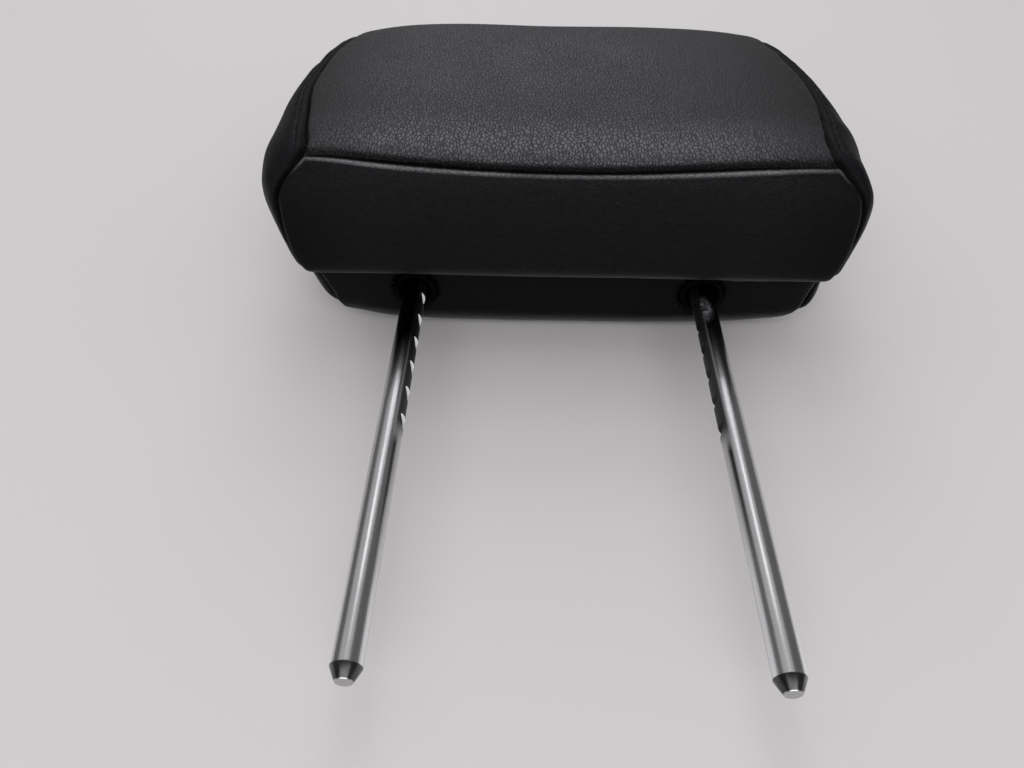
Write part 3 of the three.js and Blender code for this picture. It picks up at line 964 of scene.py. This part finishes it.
def cutters():
    shape = bmesh.new()
    for side in (-1, 1):
        face_x = side * (post_x - POST_RADIUS)
        inner, outer = face_x - side * NOTCH_DEPTH, face_x + side * NOTCH_DEPTH
        for index in range(NOTCHES):
            top = NOTCH_TOP - index * NOTCH_PITCH
            corners = [
                (inner, top + 2 * NOTCH_DRAFT),
                (outer, top),
                (outer, top - NOTCH_FLOOR),
                (inner, top - 2 * NOTCH_LENGTH + NOTCH_FLOOR),
            ]
            verts = [shape.verts.new((x, -2 * POST_RADIUS, z)) for x, z in corners]
            face = shape.faces.new(verts)
            made = bmesh.ops.extrude_face_region(shape, geom=[face])["geom"]
            moved = [g for g in made if isinstance(g, bmesh.types.BMVert)]
            bmesh.ops.translate(shape, verts=moved, vec=(0, 4 * POST_RADIUS, 0))
    bmesh.ops.recalc_face_normals(shape, faces=shape.faces)
    return shape


def temporary(name, shape):
    mesh = bpy.data.meshes.new(name)
    shape.to_mesh(mesh)
    shape.free()
    obj = bpy.data.objects.new(name, mesh)
    bpy.context.collection.objects.link(obj)
    return obj


blank = temporary("blank", rod())
tool = temporary("cutters", cutters())
cut = blank.modifiers.new("notches", "BOOLEAN")
cut.operation = "DIFFERENCE"
cut.solver = "EXACT"
cut.object = tool
bevel = blank.modifiers.new("edges", "BEVEL")
bevel.width = EDGE_BEVEL
bevel.segments = 2
bevel.limit_method = "ANGLE"
bevel.angle_limit = math.radians(22)
bevel.miter_outer = "MITER_ARC"
shape = bmesh.new()
shape.from_mesh(evaluated_mesh(blank))
for obj in (blank, tool):
    bpy.data.objects.remove(obj)
add_piece("chromed_rod", shape, CHROME, ["support_frame"], sharp=20)

# %% [markdown]
# ## Collars
# A plastic ring lines the hole round each post. Half of its section, spun round the post, makes it:
# a rounded lip that lies on the leather, a funnel into the bore and a barrel in the foam.

# %% Spin the collars
COLLAR_BORE = 6.3 * MM
COLLAR_OUTER = 11 * MM
COLLAR_LIP = 1.2 * MM
COLLAR_PLATE = 1.8 * MM
LIP_STEPS = 8
BARREL_RADIUS = 8.5 * MM
BARREL_TOP = 14 * MM
FUNNEL_TOP = 5 * MM


def collar(centre_x):
    shape = bmesh.new()
    lip_middle = COLLAR_OUTER - COLLAR_LIP
    section = [
        (BARREL_RADIUS, BARREL_TOP),
        (BARREL_RADIUS, COLLAR_PLATE),
        (COLLAR_OUTER, COLLAR_PLATE),
    ]
    for step in range(LIP_STEPS + 1):
        turn = math.pi * step / LIP_STEPS
        section.append((lip_middle + COLLAR_LIP * math.cos(turn), -COLLAR_LIP * math.sin(turn)))
    section.append((COLLAR_BORE + 0.4 * MM, FUNNEL_TOP - 1 * MM))
    section.append((COLLAR_BORE, FUNNEL_TOP))
    section.append((COLLAR_BORE, BARREL_TOP))
    verts = [shape.verts.new((centre_x + radius, 0, height)) for radius, height in section]
    edges = [shape.edges.new(pair) for pair in zip(verts, verts[1:] + verts[:1])]
    bmesh.ops.spin(
        shape, geom=verts + edges, cent=(centre_x, 0, 0), axis=(0, 0, 1),
        angle=math.radians(360), steps=ROD_SIDES, use_merge=True,
    )
    bmesh.ops.remove_doubles(shape, verts=shape.verts, dist=0.001 * MM)
    bmesh.ops.recalc_face_normals(shape, faces=shape.faces)
    return shape


for side, centre_x in (("left", -post_x), ("right", post_x)):
    node = side + "_post_collar"
    add_piece(side + "_collar", collar(centre_x), PLASTIC, [node], sharp=35)

# %% [markdown]
# ## Foam
# The foam block is out of sight, but it fills the cover, so it is a smooth cushion of its own: the
# CAD block is copied, remeshed evenly, drawn in a little so that the turned rims of the leather have
# room, and smoothed.

# %% Shape the foam
FOAM_VOXEL = 4 * MM
FOAM_INSET = 2.6 * MM
block = bmesh.new()
block.from_mesh(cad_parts["foam_core"].data)
bmesh.ops.remove_doubles(block, verts=block.verts, dist=0.01 * MM)
holder = temporary("block", block)
remesh = holder.modifiers.new("even", "REMESH")
remesh.mode = "VOXEL"
remesh.voxel_size = FOAM_VOXEL
block = bmesh.new()
block.from_mesh(evaluated_mesh(holder))
bpy.data.objects.remove(holder)
block.normal_update()
for vertex in block.verts:
    vertex.co -= FOAM_INSET * vertex.normal
bmesh.ops.smooth_vert(
    block, verts=block.verts, factor=0.5, use_axis_x=True, use_axis_y=True, use_axis_z=True
)
foam_block = add_piece("foam_block", block, FOAM, ["foam_core"])

# %% [markdown]
# ## Lining
# Beyond the ends of the closing strips a black woven tape is sewn behind the opening of the cover,
# so that no foam shows. It follows the slope between the chin's edge and the back's edge, and turns
# up at the corners with the side panels. A grid, sloped, bent and a little wavy, is thickened to a
# tape on each side.

# %% Sew in the lining
TAPE_THICKNESS = 0.8 * MM
TAPE_LENGTH = 40.7 * MM
TAPE_WIDTH = 11 * MM
TAPE_RISE = 3.2 * MM
TAPE_WAVE = 0.3 * MM
TAPE_BEND = 110 * MM
TAPE_LIFT = 4 * MM
TAPE_TURN = 13 * MM
_, strip_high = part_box("chin_closing_strip")
opening_y = strip_high[1] + 0.5 * MM


def lining(side):
    shape = bmesh.new()
    bmesh.ops.create_grid(shape, x_segments=40, y_segments=12, size=0.5)
    start = strip_high[0] + MM
    for vertex in shape.verts:
        along, across, _ = vertex.co
        wave = TAPE_WAVE * noise.noise(Vector((along * 9, across * 2, side)))
        x = start + (along + 0.5) * TAPE_LENGTH
        bent = max(0, (x - TAPE_BEND) / (start + TAPE_LENGTH - TAPE_BEND))
        slope = TAPE_RISE + TAPE_TURN * bent
        z = across * slope + TAPE_LIFT * bent + wave
        vertex.co = (side * x, opening_y + across * TAPE_WIDTH, z)
    bmesh.ops.recalc_face_normals(shape, faces=shape.faces)
    bmesh.ops.solidify(shape, geom=shape.faces, thickness=TAPE_THICKNESS)
    bmesh.ops.recalc_face_normals(shape, faces=shape.faces)
    return shape


for name, side in (("left_lining", -1), ("right_lining", 1)):
    add_piece(name, lining(side), THREAD, sharp=40)

# %% [markdown]
# ## Closing strips
# Two hooked plastic profiles hold the cover closed under the chin. They hide in the dark fold, and
# their plain straight shape is already right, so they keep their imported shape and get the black
# plastic.

# %% Finish the closing strips
for node in ("chin_closing_strip", "back_closing_strip"):
    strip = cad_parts[node]
    strip.data.materials.clear()
    strip.data.materials.append(PLASTIC)
    print(node, "keeps its shape")

# %% [markdown]
# ## Lights
# In the picture the headrest lies on its back under a wide even ceiling light, and a paler light
# grazes the front from beyond its top. The ceiling is where -Y points here. A large lamp gives
# shadows as soft as those on the table. Weaker lamps stand behind, for views of the back and sides.

# %% Hang the lamps
def lamp(name, place, target, size, power, colour=(1, 1, 1)):
    data = bpy.data.lights.new(name, "AREA")
    data.shape = "RECTANGLE"
    data.size, data.size_y = size
    data.energy = power
    data.color = colour
    obj = bpy.data.objects.new(name, data)
    bpy.context.collection.objects.link(obj)
    obj.location = place
    obj.rotation_euler = (Vector(target) - Vector(place)).to_track_quat("-Z", "Y").to_euler()
    print(name, power, "W")


# Each row: place and target in metres, width and height in metres, watts.
lamp("ceiling", (-0.75, -2.0, 0.9), (-0.75, 0, 0.9), (3.2, 2.4), 11)
lamp("ceiling_light", (-0.15, -1.95, 0.85), (0, 0, 0), (0.5, 0.5), 1.6)
lamp("beyond", (-0.05, -1.25, 1.65), (0, 0, 0.08), (1.0, 1.1), 9, (0.92, 0.94, 1))
lamp("before", (0, -1.5, -1.9), (0, 0, -0.05), (3.0, 1.4), 34)
lamp("behind", (0.3, 2.4, 0.8), (0, 0, 0), (2.4, 1.6), 75)
lamp("behind_left", (-2.2, 1.1, 0.3), (0, 0, 0), (1.2, 1.2), 25)
lamp("behind_right", (2.2, 1.1, 0.3), (0, 0, 0), (1.2, 1.2), 25)

# %% [markdown]
# ## Stage
# A pale plane stands where the table was, just behind the headrest's back. It takes the object's
# soft shadow. Seen from its own back it vanishes, and it lets shadow rays through, so that views
# from behind show the back in the light of the lamps there. The world lights everything evenly. It
# is as pale as the plane where the camera looks past that, and darker where metal and gloss mirror
# it, because the room round the table was: the plane itself they mirror as it is.

# %% Build the stage
STAGE_SIZE = 12
STAGE_GAP = 1 * MM
PALE = (0.567, 0.553, 0.558, 1)
AROUND = 1.0
MIRRORED = 0.3

stage_y = cad_box[1][1] + STAGE_GAP
table = bmesh.new()
bmesh.ops.create_grid(table, x_segments=1, y_segments=1, size=STAGE_SIZE)
bmesh.ops.rotate(table, verts=table.verts, matrix=Matrix.Rotation(math.radians(90), 3, "X"))
bmesh.ops.translate(table, verts=table.verts, vec=(0, stage_y, 0))
table_mesh = bpy.data.meshes.new("pale_table")
table.to_mesh(table_mesh)
table.free()
table_object = bpy.data.objects.new("pale_table", table_mesh)
bpy.context.collection.objects.link(table_object)

finish = Finish("pale_table", {"Base Color": PALE, "Roughness": 0.8, "Specular IOR Level": 0.2})
behind = finish.value("ShaderNodeNewGeometry", {}, {}, "Backfacing")
shadow = finish.value("ShaderNodeLightPath", {}, {}, "Is Shadow Ray")
clear = finish.node("ShaderNodeBsdfTransparent", {}, {})
mixed = finish.node("ShaderNodeMixShader", {}, {0: behind.math("MAXIMUM", behind, shadow)})
finish.tree.links.new(finish.surface.outputs["BSDF"], mixed.inputs[1])
finish.tree.links.new(clear.outputs["BSDF"], mixed.inputs[2])
finish.tree.links.new(mixed.outputs["Shader"], finish.output.inputs["Surface"])
table_mesh.materials.append(finish.material)

room = bpy.data.worlds.new("room")
bpy.context.scene.world = room
room.use_nodes = True
background = room.node_tree.nodes["Background"]
path = room.node_tree.nodes.new("ShaderNodeLightPath")
camera_ray = Value(room.node_tree, path.outputs["Is Camera Ray"])
glossy_ray = Value(room.node_tree, path.outputs["Is Glossy Ray"])
clear_ray = Value(room.node_tree, path.outputs["Is Transmission Ray"])
plain_ray = 1 - glossy_ray - camera_ray - clear_ray
strength = AROUND * plain_ray + camera_ray + clear_ray + MIRRORED * glossy_ray
connect(room.node_tree, strength, background.inputs["Strength"])
connect(room.node_tree, PALE, background.inputs["Color"])
bpy.context.scene.view_settings.view_transform = "Standard"
print("stage at y =", round(stage_y, 4))
